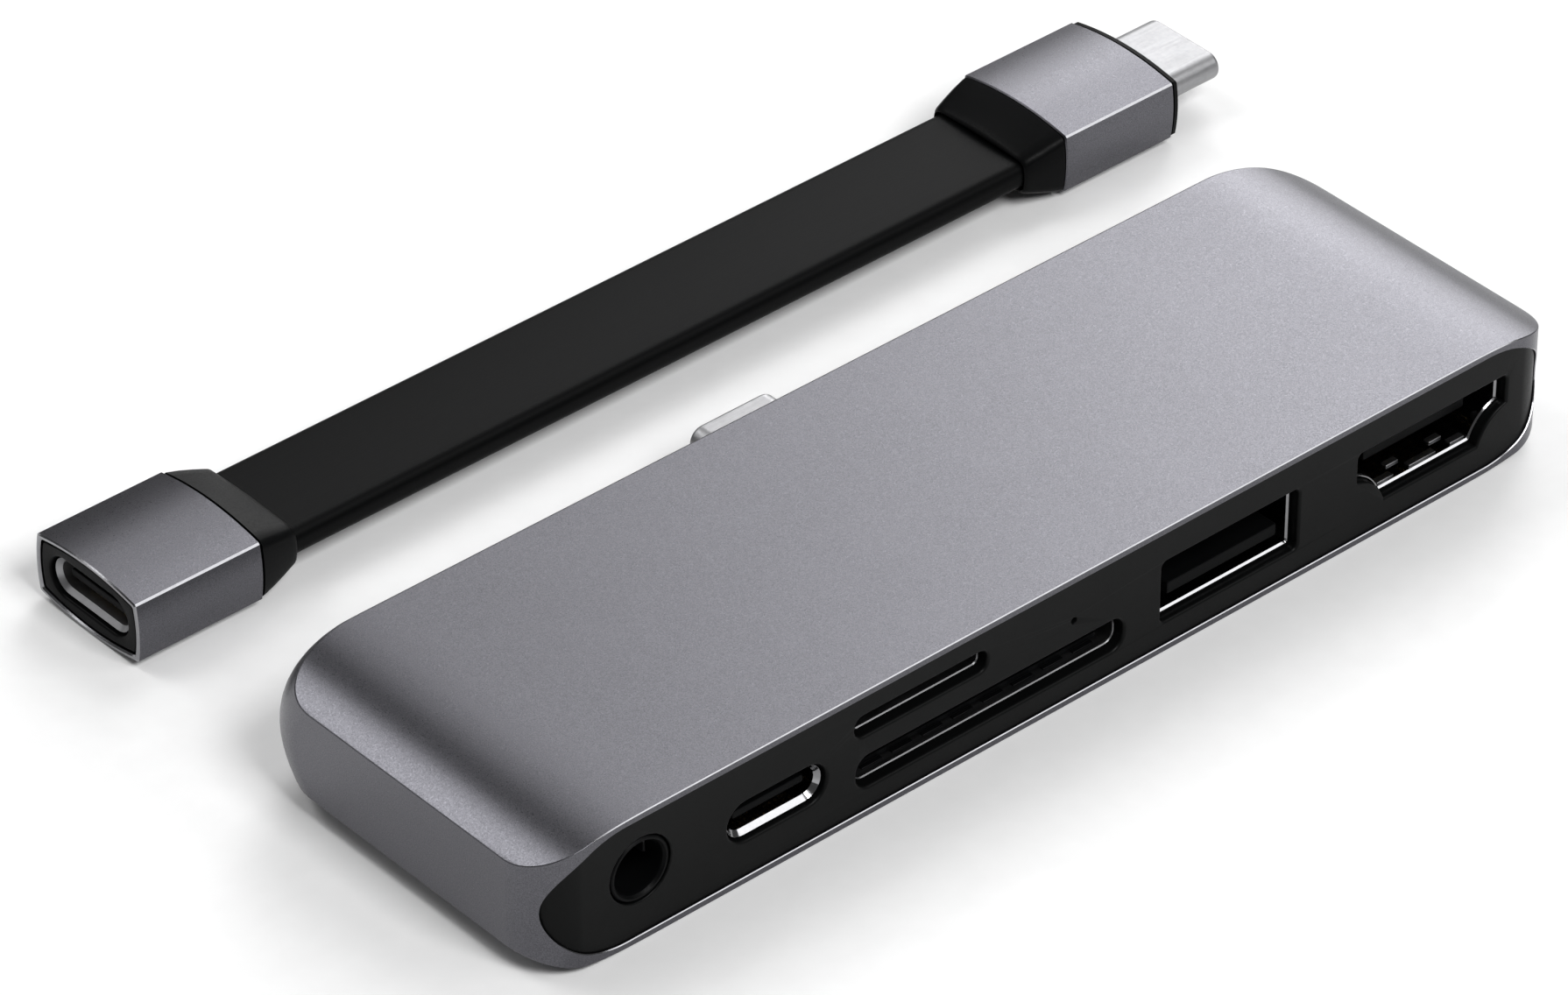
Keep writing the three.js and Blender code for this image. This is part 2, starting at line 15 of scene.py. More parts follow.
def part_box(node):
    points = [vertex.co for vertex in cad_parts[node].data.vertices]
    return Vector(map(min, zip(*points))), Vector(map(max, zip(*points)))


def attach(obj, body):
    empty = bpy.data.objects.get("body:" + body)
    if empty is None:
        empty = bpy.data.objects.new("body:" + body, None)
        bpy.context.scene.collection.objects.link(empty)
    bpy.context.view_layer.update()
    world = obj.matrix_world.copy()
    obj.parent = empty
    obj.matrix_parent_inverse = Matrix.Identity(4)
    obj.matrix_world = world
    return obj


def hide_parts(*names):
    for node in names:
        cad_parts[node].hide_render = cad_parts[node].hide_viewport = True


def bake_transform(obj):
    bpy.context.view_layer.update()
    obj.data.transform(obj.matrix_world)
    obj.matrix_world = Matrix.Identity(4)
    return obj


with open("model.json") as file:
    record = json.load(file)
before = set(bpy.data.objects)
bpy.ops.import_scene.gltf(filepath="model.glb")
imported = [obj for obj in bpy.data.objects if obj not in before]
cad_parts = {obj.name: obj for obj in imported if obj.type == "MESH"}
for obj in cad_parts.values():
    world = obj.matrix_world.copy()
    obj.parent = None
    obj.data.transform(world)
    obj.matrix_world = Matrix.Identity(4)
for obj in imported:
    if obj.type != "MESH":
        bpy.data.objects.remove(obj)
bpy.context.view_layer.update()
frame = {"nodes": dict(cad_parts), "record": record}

MM = 0.001
Span = namedtuple("Span", "low high mid size")


def span(node):
    """The box of a CAD node, in millimetres."""
    low, high = (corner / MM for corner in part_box(node))
    return Span(low, high, (low + high) / 2, high - low)


# ---- camera ----

CAMERA_AT = (-0.32447, -0.35271, 0.36406)
CAMERA_AZIMUTH = 41.32            # degrees that the view is turned from +Y towards +X
CAMERA_ELEVATION = 36.46          # degrees that it looks down
LENS = 187.64                     # millimetres, as is the sensor
SENSOR = 36


def make_camera():
    turn, rise = math.radians(CAMERA_AZIMUTH), math.radians(CAMERA_ELEVATION)
    ahead = Vector((math.sin(turn) * math.cos(rise), math.cos(turn) * math.cos(rise), -math.sin(rise)))
    data = bpy.data.cameras.new("camera")
    data.lens = LENS
    data.sensor_width = SENSOR
    camera = bpy.data.objects.new("camera", data)
    camera.location = CAMERA_AT
    camera.rotation_mode = "QUATERNION"
    camera.rotation_quaternion = ahead.to_track_quat("-Z", "Y")
    bpy.context.scene.collection.objects.link(camera)
    bpy.context.scene.camera = camera


make_camera()


# ---- materials ----

class Nodes:
    """A material's node tree, with short calls for what the finishes below need."""

    def __init__(self, name):
        self.material = bpy.data.materials.new(name)
        self.material.use_nodes = True
        self.tree = self.material.node_tree
        self.shader = self.tree.nodes["Principled BSDF"]
        self.place = self.add("ShaderNodeTexCoord").outputs["Object"]

    def add(self, kind, **settings):
        node = self.tree.nodes.new(kind)
        for key, value in settings.items():
            setattr(node, key, value)
        return node

    def link(self, output, socket):
        self.tree.links.new(output, socket)

    def set(self, **values):
        for name, value in values.items():
            self.shader.inputs[name.replace("_", " ")].default_value = value

    def stretched(self, stretch):
        mapping = self.add("ShaderNodeMapping")
        mapping.inputs["Scale"].default_value = stretch
        self.link(self.place, mapping.inputs["Vector"])
        return mapping.outputs["Vector"]

    def noise(self, per_mm, detail=2.0, stretch=(1, 1, 1)):
        """Noise with about this many blobs to a millimetre."""
        noise = self.add("ShaderNodeTexNoise")
        noise.inputs["Scale"].default_value = per_mm / MM
        noise.inputs["Detail"].default_value = detail
        self.link(self.stretched(stretch), noise.inputs["Vector"])
        return noise.outputs["Fac"]

    def between(self, factor, low, high, start=0.3, end=0.7):
        """A number that runs from low to high as factor runs from start to end."""
        span_node = self.add("ShaderNodeMapRange")
        for name, value in (("From Min", start), ("From Max", end), ("To Min", low), ("To Max", high)):
            span_node.inputs[name].default_value = value
        self.link(factor, span_node.inputs["Value"])
        return span_node.outputs["Result"]

    def blend(self, factor, low, high):
        """A colour between two colours."""
        mix = self.add("ShaderNodeMix", data_type="RGBA")
        sockets = [s for s in mix.inputs if s.type == "RGBA"]
        for socket, value in zip(sockets, (low, high)):
            if isinstance(value, bpy.types.NodeSocket):
                self.link(value, socket)
            else:
                socket.default_value = (*value, 1)
        self.link(factor, mix.inputs["Factor"])
        return next(s for s in mix.outputs if s.type == "RGBA")

    def colour(self, socket):
        self.link(socket, self.shader.inputs["Base Color"])

    def roughness(self, factor, low, high):
        self.link(self.between(factor, low, high), self.shader.inputs["Roughness"])

    def bump(self, *layers):
        """Bumps laid over each other. Each layer is a factor and its depth in millimetres."""
        normal = None
        for factor, depth in layers:
            bump = self.add("ShaderNodeBump")
            bump.inputs["Strength"].default_value = 1
            bump.inputs["Distance"].default_value = depth * MM
            self.link(factor, bump.inputs["Height"])
            if normal is not None:
                self.link(normal, bump.inputs["Normal"])
            normal = bump.outputs["Normal"]
        self.link(normal, self.shader.inputs["Normal"])


def shade(colour, factor):
    """A colour made lighter or darker by a factor."""
    return tuple(c * factor for c in colour)


def base_colour(slot, factor=1.0):
    """The record's colour for a material slot, made darker by a factor."""
    colour = next(m["base_color"] for m in frame["record"]["materials"] if m["slot"] == slot)
    return shade(colour, factor)


def anodised(name, colour):
    """Bead-blasted and anodised aluminium: a fine even sparkle over faint clouds."""
    nodes = Nodes(name)
    grain = nodes.noise(11, 2)
    clouds = nodes.noise(0.12, 3)
    fine = nodes.blend(nodes.between(grain, 0, 1), shade(colour, 0.74), shade(colour, 1.26))
    nodes.colour(nodes.blend(nodes.between(clouds, 0, 0.12), fine, shade(colour, 1.25)))
    nodes.roughness(nodes.noise(7, 2), 0.27, 0.36)
    nodes.bump((grain, 0.003), (nodes.noise(5, 2), 0.002))
    nodes.set(Metallic=1.0)
    return nodes.material


def polished(name, colour, roughness):
    """A bright metal with faint drawn lines along it."""
    nodes = Nodes(name)
    lines = nodes.noise(6, 3, (0.06, 1, 1))
    specks = nodes.noise(2.5, 3)
    nodes.colour(nodes.blend(nodes.between(specks, 0, 1), shade(colour, 0.94), shade(colour, 1.04)))
    nodes.roughness(lines, *roughness)
    nodes.bump((lines, 0.0006))
    nodes.set(Metallic=1.0)
    return nodes.material


def moulded(name, colour, roughness, grain=6.0, depth=0.004, specular=0.2):
    """Moulded plastic with a fine spark-eroded grain."""
    nodes = Nodes(name)
    fine = nodes.noise(grain, 3)
    broad = nodes.noise(0.25, 2)
    nodes.colour(nodes.blend(nodes.between(broad, 0, 1), shade(colour, 0.85), shade(colour, 1.15)))
    nodes.roughness(fine, *roughness)
    nodes.bump((fine, depth))
    nodes.set(Specular_IOR_Level=specular)
    return nodes.material


def extruded(name, colour, roughness):
    """A soft extruded jacket, with faint lines along X where it left the die."""
    nodes = Nodes(name)
    lines = nodes.noise(5, 3, (0.02, 1, 1))
    fine = nodes.noise(9, 2)
    nodes.colour(nodes.blend(nodes.between(lines, 0, 1), shade(colour, 0.85), shade(colour, 1.15)))
    nodes.roughness(fine, *roughness)
    nodes.bump((lines, 0.003), (fine, 0.002))
    nodes.set(Specular_IOR_Level=0.055)
    return nodes.material


def board(name, colour):
    """Solder mask over copper, which shows as lighter squared paths."""
    nodes = Nodes(name)
    cells = nodes.add("ShaderNodeTexVoronoi", distance="MANHATTAN", feature="DISTANCE_TO_EDGE")
    cells.inputs["Scale"].default_value = 0.45 / MM
    nodes.link(nodes.place, cells.inputs["Vector"])
    paths = nodes.between(cells.outputs["Distance"], 1, 0, 0.05, 0.09)
    nodes.colour(nodes.blend(paths, colour, shade(colour, 2.2)))
    nodes.roughness(nodes.noise(3, 2), 0.22, 0.34)
    nodes.bump((paths, 0.02))
    return nodes.material


def pale_floor(name):
    """A matt, nearly white surface."""
    nodes = Nodes(name)
    fine = nodes.noise(0.4, 3)
    nodes.colour(nodes.blend(nodes.between(fine, 0, 1), (0.885, 0.885, 0.885), (0.905, 0.905, 0.905)))
    nodes.roughness(fine, 0.85, 0.95)
    nodes.set(Specular_IOR_Level=0.1)
    return nodes.material


GREY_METAL = (0.112, 0.111, 0.123)
CUT_METAL = (0.26, 0.26, 0.272)
GOLD = (0.80, 0.57, 0.24)
# The clear light pipe is painted near black: painted shade for the dark hole it sits in.
PIPE_PAINTED_SHADE = (0.03, 0.032, 0.034)
STEEL = base_colour("bright_steel", 0.4)
FINISH = {
    "aluminium": anodised("space_grey_aluminium", GREY_METAL),
    "cut_edge": polished("cut_aluminium_edge", CUT_METAL, (0.12, 0.2)),
    "panel": moulded(
        "satin_black_panel", base_colour("panel", 0.22), (0.34, 0.44), grain=7, depth=0.003, specular=0.09),
    "black_plastic": moulded(
        "satin_black_plastic", base_colour("black_plastic", 0.35), (0.36, 0.48), specular=0.06),
    "cable_jacket": extruded("black_jacket", base_colour("cable_jacket", 0.1), (0.4, 0.52)),
    "bright_steel": polished("bright_steel", STEEL, (0.08, 0.16)),
    "plug_steel": polished("plug_steel", shade(STEEL, 1.08), (0.42, 0.5)),
    # A darker, rougher copy of the bright steel, used only inside the ports: the roughness is duller spring
    # steel, the darkness is painted shade for the shade inside the ports.
    "spring_steel": polished("spring_steel", shade(STEEL, 0.5), (0.3, 0.42)),
    "gold": polished("gold_plate", GOLD, (0.2, 0.3)),
    "board_resin": board("green_board", base_colour("board_resin")),
    "chip_resin": moulded("chip_resin", base_colour("chip_resin"), (0.5, 0.65)),
    "ferrite": moulded("ferrite", base_colour("ferrite"), (0.6, 0.75), grain=4, depth=0.01),
    "thermal_silicone": moulded(
        "thermal_silicone", base_colour("thermal_silicone"), (0.6, 0.8), grain=3, depth=0.02),
    # the light pipe wears painted shade, near black, in place of its clear plastic
    "clear_plastic": moulded("light_pipe_painted_shade", PIPE_PAINTED_SHADE, (0.1, 0.18), grain=3, depth=0.001),
}


# ---- meshes ----

def inside(point, outline):
    """Whether a point lies inside a closed outline."""
    x, y = point
    crossings = 0
    for (x0, y0), (x1, y1) in zip(outline, outline[1:] + outline[:1]):
        if (y0 > y) != (y1 > y) and x < x0 + (x1 - x0) * (y - y0) / (y1 - y0):
            crossings += 1
    return crossings % 2 == 1


class Soup:
    """Faces given by their corner points. Corners at the same place become one vertex."""

    def __init__(self):
        self.index = {}
        self.points = []
        self.faces = []
        self.finishes = []

    def vertex(self, point):
        key = tuple(round(c, 4) + 0.0 for c in point)
        if key not in self.index:
            self.index[key] = len(self.points)
            self.points.append(key)
        return self.index[key]

    def face(self, corners, finish=0):
        ring = list(dict.fromkeys(self.vertex(corner) for corner in corners))
        if len(ring) > 2:
            self.faces.append(ring)
            self.finishes.append(finish)

    def grid(self, rows, finish=0, wrap=False):
        """Four-sided faces between rows of points. finish may be a function of the place along the row."""
        for low, high in zip(rows, rows[1:]):
            count = len(low)
            for i in range(count if wrap else count - 1):
                j = (i + 1) % count
                chosen = finish(i) if callable(finish) else finish
                self.face((low[i], low[j], high[j], high[i]), chosen)

    def fill(self, outline, holes, place, finish=0, ties=()):
        """An outline with holes, cut into triangles. Each tie is a pair of the outline's points to join."""
        points, edges = [], list(ties)
        for loop in (outline, *holes):
            first = len(points)
            points += loop
            edges += [(first + i, first + (i + 1) % len(loop)) for i in range(len(loop))]
        made = delaunay_2d_cdt([Vector(p) for p in points], edges, [], 1, 1e-6)
        faces, sources = made[2], made[3]
        for face in faces:
            corners = [points[sources[i][0]] for i in face]
            middle = [sum(c[axis] for c in corners) / len(corners) for axis in (0, 1)]
            if not any(inside(middle, hole) for hole in holes):
                self.face([place(*corner) for corner in corners], finish)

    def tube(self, rings):
        """A closed solid: rings of points joined in order, with flat ends."""
        self.grid(rings, wrap=True)
        self.face(rings[0])
        self.face(rings[-1])

    def sweep(self, outline, profile, place, wrap=True):
        """A wall of the given profile run round an outline, or without wrap a solid with flat ends."""
        rings = [[place(u, v, depth) for u, v in outline(inset)] for inset, depth in profile]
        if wrap:
            self.grid(rings + rings[:1], wrap=True)
        else:
            self.tube(rings)


def make_piece(name, soup, finishes, body, nodes=(), crease=32.0):
    """Turns a soup into a piece that rides on a body and stands for the CAD nodes named.

    Edges that bend by more than crease degrees stay sharp.
    """
    mesh = bpy.data.meshes.new(name)
    mesh.from_pydata([[c * MM for c in point] for point in soup.points], [], soup.faces)
    for finish in finishes:
        mesh.materials.append(FINISH[finish])
    mesh.polygons.foreach_set("material_index", soup.finishes)
    work = bmesh.new()
    work.from_mesh(mesh)
    bmesh.ops.recalc_face_normals(work, faces=work.faces)
    work.to_mesh(mesh)
    work.free()
    mesh.polygons.foreach_set("use_smooth", [True] * len(mesh.polygons))
    mesh.set_sharp_from_angle(angle=math.radians(crease))
    piece = bpy.data.objects.new(name, mesh)
    bpy.context.scene.collection.objects.link(piece)
    if nodes:
        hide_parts(*nodes)
    if body:
        weighted = piece.modifiers.new("flat_faces_stay_flat", "WEIGHTED_NORMAL")
        weighted.keep_sharp = True
        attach(piece, body)
    return piece


def steps(start, end, count):
    """Evenly spaced numbers from start to end."""
    return [start + (end - start) * i / count for i in range(count + 1)]


def arc(x, y, across, up, start, end, count):
    """Points on part of an ellipse, with angles in degrees."""
    turns = [math.radians(a) for a in steps(start, end, count)]
    return [(x + across * math.cos(a), y + up * math.sin(a)) for a in turns]


SMALLEST_RADIUS = 0.02


def rounded(x, y, width, height, corner, inset=0.0, count=6):
    """A rectangle with round corners, as a closed outline."""
    radius = max(corner - inset, SMALLEST_RADIUS)
    across, up = width / 2 - inset - radius, height / 2 - inset - radius
    outline = []
    for quarter, (side, level) in enumerate(((1, -1), (1, 1), (-1, 1), (-1, -1))):
        start = 90 * (quarter - 1)
        outline += arc(x + side * across, y + level * up, radius, radius, start, start + 90, count)
    return outline


def along_y(u, v, depth):
    return (u, depth, v)


def along_x(u, v, depth):
    return (depth, u, v)


# ---- the hub's shell ----

SHELL = span("hub_shell")
PANEL = span("front_panel")
PLUG_Z = span("hub_plug_shell").mid.z
HALF = SHELL.size.x / 2
HEIGHT = SHELL.size.z
MID = HEIGHT / 2
BULGE = 1.7                       # how far the back wall swells at mid height
FRONT = SHELL.low.y
BACK = SHELL.high.y - BULGE
FRONT_CORNER = 4.2
BACK_CORNER = 8.3
CORNER_LOSS = 3.5                 # how much tighter the back corners are at mid height
END_RUN = 7.3                     # length of the slope at each end of the top
END_DROP = 1.87                   # and how far it falls
END_BLEND = 5                     # half the length over which the slope begins
END_RADIUS = (END_RUN ** 2 + END_DROP ** 2) / (2 * END_DROP)

EDGE = 0.07                       # edge round the top and bottom: cut at the front, rounded elsewhere
RIM_CUT = 0.06                    # cut edge round the panel's opening
GAP = 0.15                        # fit between pieces that touch
LEDGE = 0.45                      # step inside the shell that the panel seats on
WALL = 1.4
SEAT = FRONT + 3.15
PANEL_END = 6.5                   # length of the panel's half-elliptical ends
PANEL_STRAIGHT = PANEL.size.x / 2 - PANEL_END
HOLE_HALF = 5.425                 # half the width of the plug's hole
HOLE_UP = 2.3                     # half its height, and the radius of its round ends
HOLE_STRAIGHT = HOLE_HALF - HOLE_UP
WAIST_RUN = 20                    # beside the hole, the back wall's middle line returns to mid height

ACROSS = 6                        # faces from front to back on the top
LEVELS = 8                        # faces above and below the middle of the walls
EDGE_STEPS = 4                    # faces across that edge
HOLE_COLUMNS = 8                  # columns in a quarter of the plug's hole
OPENING_COLUMNS = 20              # columns in an end of the panel's opening
CORNER_COLUMNS = 6
PLAIN_COLUMNS = (9.0, 15.0, 21.0, 27.0, 33.0, 37.5, 38.9, 40.1, 41.2)
TOUCH = 1e-6                      # room for rounding where a column lies on an outline's end


def drop(x):
    """How far the top has fallen at x, towards an end: an arc that begins softly."""
    past = max(abs(x) - (HALF - END_RUN), -END_BLEND)
    run = (past + END_BLEND) ** 2 / (4 * END_BLEND) if past < END_BLEND else past
    return END_RADIUS - math.sqrt(END_RADIUS ** 2 - run ** 2)


def back_wall(z):
    """Where the back wall stands at height z, and its corner radius there."""
    swell = max(0.0, 1 - (z / MID - 1) ** 2) ** 0.75
    return BACK + BULGE * swell, BACK_CORNER - CORNER_LOSS * swell


def front_station(x):
    """A place on the front wall, as a function of height and inset."""
    centre = HALF - FRONT_CORNER
    turn = math.asin(min(1.0, max(0.0, (x - centre) / FRONT_CORNER)))
    start = min(x, centre)

    def at(z, inset):
        radius = FRONT_CORNER - inset
        return start + radius * math.sin(turn), FRONT + FRONT_CORNER - radius * math.cos(turn)
    return at


def back_station(x):
    """The place on the back wall whose point on the edge of the top has this x."""
    corner = back_wall(HEIGHT - drop(x))[1]
    turn = math.asin(min(1.0, max(0.0, (x - HALF + corner) / (corner - EDGE))))

    def at(z, inset):
        edge, radius = back_wall(z)
        start = HALF - radius if turn > 0 else x
        reach = radius - inset
        return start + reach * math.sin(turn), edge - radius + reach * math.cos(turn)
    return at


def side_station(share):
    """A place on the side wall, this share of the way from the front corner to the back one."""
    def at(z, inset):
        edge, radius = back_wall(z)
        start = FRONT + FRONT_CORNER
        return HALF - inset, start + (edge - radius - start) * share
    return at


def rim_height(station, inset):
    """The height of the top above a station, found in a few rounds because each depends on the other."""
    z = HEIGHT
    for _ in range(4):
        z = HEIGHT - drop(station(z, inset)[0])
    return z


def closing(start, end):
    """Heights from start to end that lie closer together towards the end."""
    return [start + (end - start) * math.sin(share * math.pi / 2) for share in steps(0, 1, LEVELS)]


def on_wall(station, side, z, inset=0.0):
    """The point of a station at height z. side is 1 on the right and -1 on the left."""
    x, y = station(z, inset)
    return (side * x, y, z)


def opening_half(x, grow):
    """Half the height of the panel's outline at x, where the outline is grown on all sides."""
    share = max(0.0, abs(x) - PANEL_STRAIGHT) / (PANEL_END + grow)
    return (PANEL.size.z / 2 + grow) * math.sqrt(max(0.0, 1 - share ** 2))


def plug_hole_half(x):
    """Half the height of the plug's hole at x, and nothing beside it."""
    share = max(0.0, abs(x) - HOLE_STRAIGHT) / HOLE_UP
    return HOLE_UP * math.sqrt(max(0.0, 1 - share ** 2))


def waist(x):
    """The height where the lower and upper halves of the back wall meet."""
    share = min(1.0, max(0.0, (x - HOLE_HALF - TOUCH) / WAIST_RUN))
    return PLUG_Z + (MID - PLUG_Z) * share


def shell_columns():
    """The x places of the right half: the plug hole's outline, then the panel opening's, then the corner."""
    quarter = math.pi / 2
    hole = [HOLE_STRAIGHT + HOLE_UP * math.sin(turn) for turn in steps(0, quarter, HOLE_COLUMNS)]
    reach = PANEL_END + GAP + RIM_CUT
    opening = [PANEL_STRAIGHT + reach * math.sin(turn) for turn in steps(0, quarter, OPENING_COLUMNS)]
    centre = HALF - FRONT_CORNER
    last = math.asin((opening[-1] - centre) / FRONT_CORNER)
    corner = [centre + FRONT_CORNER * math.sin(turn) for turn in steps(last, quarter, CORNER_COLUMNS)[1:]]
    return [0.0, HOLE_STRAIGHT / 2, *hole, *PLAIN_COLUMNS, *opening, *corner]


def make_shell():
    """One closed skin, inside and out, on columns that run round the walls and over the top and bottom."""
    soup = Soup()
    columns = shell_columns()
    fronts = [front_station(x) for x in columns]
    caps = [station(rim_height(station, EDGE), EDGE)[0] for station in fronts]
    backs = [back_station(x) for x in caps]
    sides = [side_station(i / ACROSS) for i in range(1, ACROSS)]
    opening_end = PANEL_STRAIGHT + PANEL_END + GAP + RIM_CUT + TOUCH
    hole_end = HOLE_HALF + TOUCH

    # Each stop round the wall is its side, its station, the gap in the wall there, and whether
    # it is on the flat front, where the edge of the top is cut instead of rounded.
    right = []
    for x, station in zip(columns, fronts):
        half = opening_half(x, GAP + RIM_CUT) if x <= opening_end else 0.0
        right.append((station, MID - half, MID + half, x < HALF - FRONT_CORNER))
    right += [(station, MID, MID, False) for station in sides]
    for x, station in reversed(list(zip(columns, backs))):
        half = plug_hole_half(x) if x <= hole_end else 0.0
        right.append((station, waist(x) - half, waist(x) + half, False))
    stops = [(1, *stop) for stop in right] + [(-1, *stop) for stop in reversed(right[1:-1])]

    lower, upper, top, bottom = [], [], [], []
    for side, station, low, high, is_cut in stops:
        rim = rim_height(station, 0.0)
        foot = HEIGHT - rim
        lower.append([on_wall(station, side, z) for z in closing(low, foot + EDGE)])
        upper.append([on_wall(station, side, z) for z in closing(high, rim - EDGE)])
        edge = []
        for share in steps(0, 1, EDGE_STEPS):
            inset = EDGE * (share if is_cut else 1 - math.cos(share * math.pi / 2))
            down = EDGE * (1 - share if is_cut else 1 - math.sin(share * math.pi / 2))
            edge.append((inset, rim_height(station, inset) - down))
        top.append([on_wall(station, side, z, inset) for inset, z in edge])
        bottom.append([on_wall(station, side, HEIGHT - z, inset) for inset, z in edge])

    def cut_edge(i):
        return 1 if stops[i][-1] and stops[(i + 1) % len(stops)][-1] else 0

    for band in (lower, upper, bottom):
        soup.grid(list(zip(*band)), wrap=True)
    soup.grid(list(zip(*top)), cut_edge, wrap=True)

    # The columns from the left end to the right, each as its side and its place in the list.
    whole = [(-1, i) for i in range(len(columns) - 1, 0, -1)] + [(1, i) for i in range(len(columns))]

    def cap(flip):
        rows = []
        for side, i in whole:
            z = rim_height(fronts[i], EDGE)
            near, far = fronts[i](z, EDGE), backs[i](z, EDGE)
            ys = steps(near[1], far[1], ACROSS)
            rows.append([(side * near[0], y, HEIGHT - z if flip else z) for y in ys])
        soup.grid(rows)

    cap(False)
    cap(True)

    # The opening's cut edge, the seat behind it, and the hollow.
    wide = [(side, i) for side, i in whole if columns[i] <= opening_end]

    def opening_point(i, grow):
        """The x place and the half height of the opening at column i, where its outline is grown."""
        full = GAP + RIM_CUT
        beyond = max(0.0, columns[i] - PANEL_STRAIGHT)
        x = min(columns[i], PANEL_STRAIGHT) + beyond * (PANEL_END + grow) / (PANEL_END + full)
        half = PANEL.size.z / 2
        return x, opening_half(columns[i], full) * ((half + grow) / (half + full))

    def ring(grow, depth):
        points = []
        for level, order in ((1, wide), (-1, wide[::-1])):
            for side, i in order:
                x, reach = opening_point(i, grow)
                z = MID + level * reach
                points.append((side * x, depth(i, x, z), z))
        return points

    def surface(i, x, z):
        return fronts[i](z, 0)[1]

    def hollow_end(x, z):
        edge, radius = back_wall(z)
        across = max(0.0, x - HALF + radius)
        return edge - radius + math.sqrt(max(0.0, (radius - WALL) ** 2 - across ** 2))

    soup.grid([
        ring(GAP + RIM_CUT, surface),
        ring(GAP, lambda i, x, z: surface(i, x, z) + RIM_CUT)], 1, wrap=True)
    soup.grid([
        ring(GAP, lambda i, x, z: surface(i, x, z) + RIM_CUT),
        ring(GAP, lambda i, x, z: SEAT),
        ring(-LEDGE, lambda i, x, z: SEAT),
        ring(-LEDGE, lambda i, x, z: hollow_end(x, z))], wrap=True)

    # The inside of the back wall, and the plug's hole through it.
    inner_low, inner_high, hole_out, hole_in = [], [], [], []
    for side, i in wide:
        x, reach = opening_point(i, -LEDGE)
        half = plug_hole_half(columns[i]) if columns[i] <= hole_end else 0.0
        middle = waist(columns[i])
        place = lambda z: (side * x, hollow_end(x, z), z)
        inner_low.append([place(z) for z in steps(MID - reach, middle - half, LEVELS)])
        inner_high.append([place(z) for z in steps(middle + half, MID + reach, LEVELS)])
    soup.grid(inner_low)
    soup.grid(inner_high)
    narrow = [(side, i) for side, i in wide if columns[i] <= hole_end]
    for level, order in ((1, narrow), (-1, narrow[::-1])):
        for side, i in order:
            z = PLUG_Z + level * plug_hole_half(columns[i])
            hole_out.append(on_wall(backs[i], side, z))
            hole_in.append((side * columns[i], hollow_end(columns[i], z), z))
    soup.grid([hole_out, hole_in], wrap=True)
    return make_piece("hub_shell_detail", soup, ["aluminium", "cut_edge"], "hub", ["hub_shell"])


# ---- the front panel ----

JACK = span("audio_jack_ring")
USB_C = span("usb_c_socket_shell")
USB_A = span("usb_a_shell")
HDMI = span("hdmi_shell")
SD = span("sd_socket_cover")
MICRO_SD = span("microsd_socket_cover")
LIGHT = span("light_pipe")
PANEL_STEPS = 40                  # faces in each end of the panel
PANEL_FIT = 0.13                  # the panel all but fills its opening


def hdmi_outline(inset, count=6):
    """A wide top, and lower corners scooped away."""
    x, z = HDMI.mid.x, HDMI.mid.z
    top = HDMI.size.z / 2 - inset
    half = HDMI.size.x / 2 - inset
    shoulder = 0.15 + inset * 0.3
    foot = 4.8 - inset * 0.4
    corner = 0.5
    bend, rise = foot + 0.75, shoulder - 0.6
    scoop = []
    for t in steps(0, 1, 2 * count):
        scoop.append((
            (1 - t) ** 2 * foot + 2 * t * (1 - t) * bend + t * t * half,
            -(1 - t) ** 2 * top + 2 * t * (1 - t) * rise + t * t * shoulder))
    right = scoop + arc(half - corner, top - corner, corner, corner, 0, 90, count)
    left = [(-u, v) for u, v in reversed(right)]
    return [(x + u, z + v) for u, v in right + left]


def port_outline(port, corner):
    """The outline of a port's shell, as a function of inset."""
    return lambda inset: rounded(port.mid.x, port.mid.z, port.size.x, port.size.z, corner, inset)


OUTLINES = {
    "jack": port_outline(JACK, JACK.size.x / 2),
    "usb_c": port_outline(USB_C, USB_C.size.z / 2),
    "micro_sd": port_outline(MICRO_SD, MICRO_SD.size.z / 2 - 0.1),
    "sd": port_outline(SD, 1.05),
    "usb_a": port_outline(USB_A, 0.35),
    "hdmi": hdmi_outline,
    "light": port_outline(LIGHT, LIGHT.size.x / 2),
}


def panel_front(x):
    """Where the panel's face is at x: it follows the shell's corners."""
    inset = PANEL.low.y - FRONT
    radius = FRONT_CORNER - inset
    beyond = max(0.0, abs(x) - HALF + FRONT_CORNER)
    return FRONT + FRONT_CORNER - math.sqrt(max(0.0, radius ** 2 - beyond ** 2))


def panel_outline(grow):
    """The panel's outline: straight above and below, with half-elliptical ends."""
    reach, up = PANEL_END + grow, PANEL.size.z / 2 + grow
    right = arc(PANEL_STRAIGHT, MID, reach, up, -90, 90, PANEL_STEPS)
    left = [(-x, z) for x, z in reversed(right)]
    return right + left


def opposite(i):
    """The point of the panel's outline straight above or below point i."""
    first = i // (PANEL_STEPS + 1) * (PANEL_STEPS + 1)
    return 2 * first + PANEL_STEPS - i


